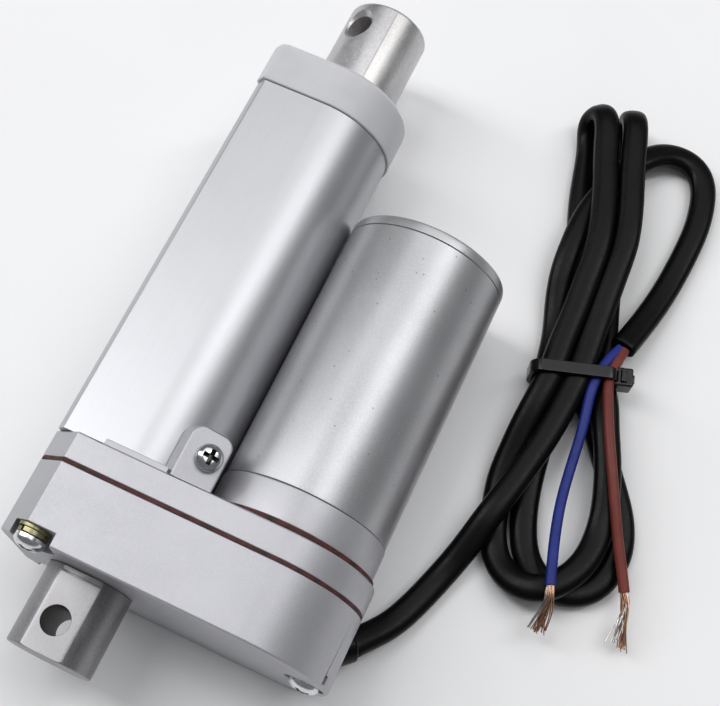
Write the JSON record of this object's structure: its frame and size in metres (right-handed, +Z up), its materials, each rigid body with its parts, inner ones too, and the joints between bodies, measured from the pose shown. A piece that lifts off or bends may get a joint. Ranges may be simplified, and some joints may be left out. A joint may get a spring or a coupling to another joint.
{
  "type": "linear actuator",
  "caption": "Compact electric linear actuator with a geared motor beside a flat-backed tube, a sliding push rod with a pin hole, a rear mounting eye and a tied two-core cable.",
  "frame": {"origin": "bottom centre of the actuator body, cable left out, on the surface it lies on", "axes": "+Y is the way the push rod extends, +Z is up from the flat side of the gearbox, +X points from the tube to the motor"},
  "size_m": [0.1262, 0.1857, 0.0398],
  "materials": {
    "casting": "satin silver paint on die-cast metal",
    "tube": "satin anodised",
    "can": "satin plated",
    "rod_metal": "turned",
    "steel": "ground",
    "zinc": "bright zinc plate",
    "yellow_zinc": "yellow zinc plate",
    "cap_plastic": "milky white, satin",
    "gasket": "matt red-brown",
    "nylon": "natural nylon",
    "black_plastic": "satin black",
    "cable_sheath": "satin black PVC",
    "blue_sheath": "satin",
    "brown_sheath": "satin",
    "brass": "cut",
    "copper": "bare copper",
    "ferrite": "ceramic magnet",
    "board": "green solder mask",
    "seal_rubber": "black"
  },
  "bodies": {
    "housing": {"rear_casing": "casting", "casing_gasket": "gasket", "front_casing": "casting", "rear_eye": "rod_metal", "outer_tube": "tube", "front_cap": "cap_plastic", "wiper_seal": "seal_rubber", "guide_bush": "nylon", "screw_bearing": "steel", "idler_shaft": "steel", "motor_gasket": "gasket", "motor_base": "casting", "motor_can": "can", "motor_end_plate": "can", "motor_brush_holder": "nylon", "motor_front_bearing": "steel", "motor_rear_bearing": "steel", "motor_magnet_top": "ferrite", "motor_magnet_bottom": "ferrite", "motor_screw_top": "zinc", "motor_screw_bottom": "zinc", "switch_board": "board", "rear_limit_switch": "black_plastic", "front_limit_switch": "black_plastic", "case_screw_top": "zinc", "spring_washer_top": "yellow_zinc", "flat_washer_top": "zinc", "case_screw_bottom": "zinc", "spring_washer_bottom": "yellow_zinc", "flat_washer_bottom": "zinc", "case_screw_end": "zinc", "spring_washer_end": "yellow_zinc", "flat_washer_end": "zinc", "tab_screw": "zinc", "cable_gland": "cable_sheath", "cable_lead": "cable_sheath", "cable_hank": "cable_sheath", "cable_tie": "black_plastic", "blue_wire": "blue_sheath", "brown_wire": "brown_sheath", "blue_strands": "copper", "brown_strands": "copper"},
    "rod": {"push_rod": "tube", "rod_end": "rod_metal", "drive_nut": "nylon"},
    "screw": {"lead_screw": "steel", "screw_gear": "nylon", "screw_collar": "steel"},
    "idler": {"idler_gear": "nylon"},
    "rotor": {"motor_pinion": "brass", "motor_shaft": "steel", "motor_armature": "copper", "motor_commutator": "copper"}
  },
  "joints": [
    {"name": "rod_slide", "type": "slide", "parent": "housing", "child": "rod", "axis": [0, 1, 0], "range_m": [0, 0.05]},
    {"name": "screw_turn", "type": "hinge", "parent": "housing", "child": "screw", "pos_m": [-0.0182, -0.0566, 0.01975], "axis": [0, 1, 0], "range_deg": [-6000, 0]},
    {"name": "idler_turn", "type": "hinge", "parent": "housing", "child": "idler", "pos_m": [0.00011, -0.0576, 0.0216], "axis": [0, 1, 0], "range_deg": [0, 13714.29]},
    {"name": "rotor_turn", "type": "hinge", "parent": "housing", "child": "rotor", "pos_m": [0.016, -0.0166, 0.01975], "axis": [0, 1, 0], "range_deg": [-32000, 0]}
  ],
  "couplings": [
    {"joint": "screw_turn", "follows": "rod_slide", "rad_per_m": -2094.4},
    {"joint": "idler_turn", "follows": "rod_slide", "rad_per_m": 4787.2},
    {"joint": "rotor_turn", "follows": "rod_slide", "rad_per_m": -11170}
  ]
}
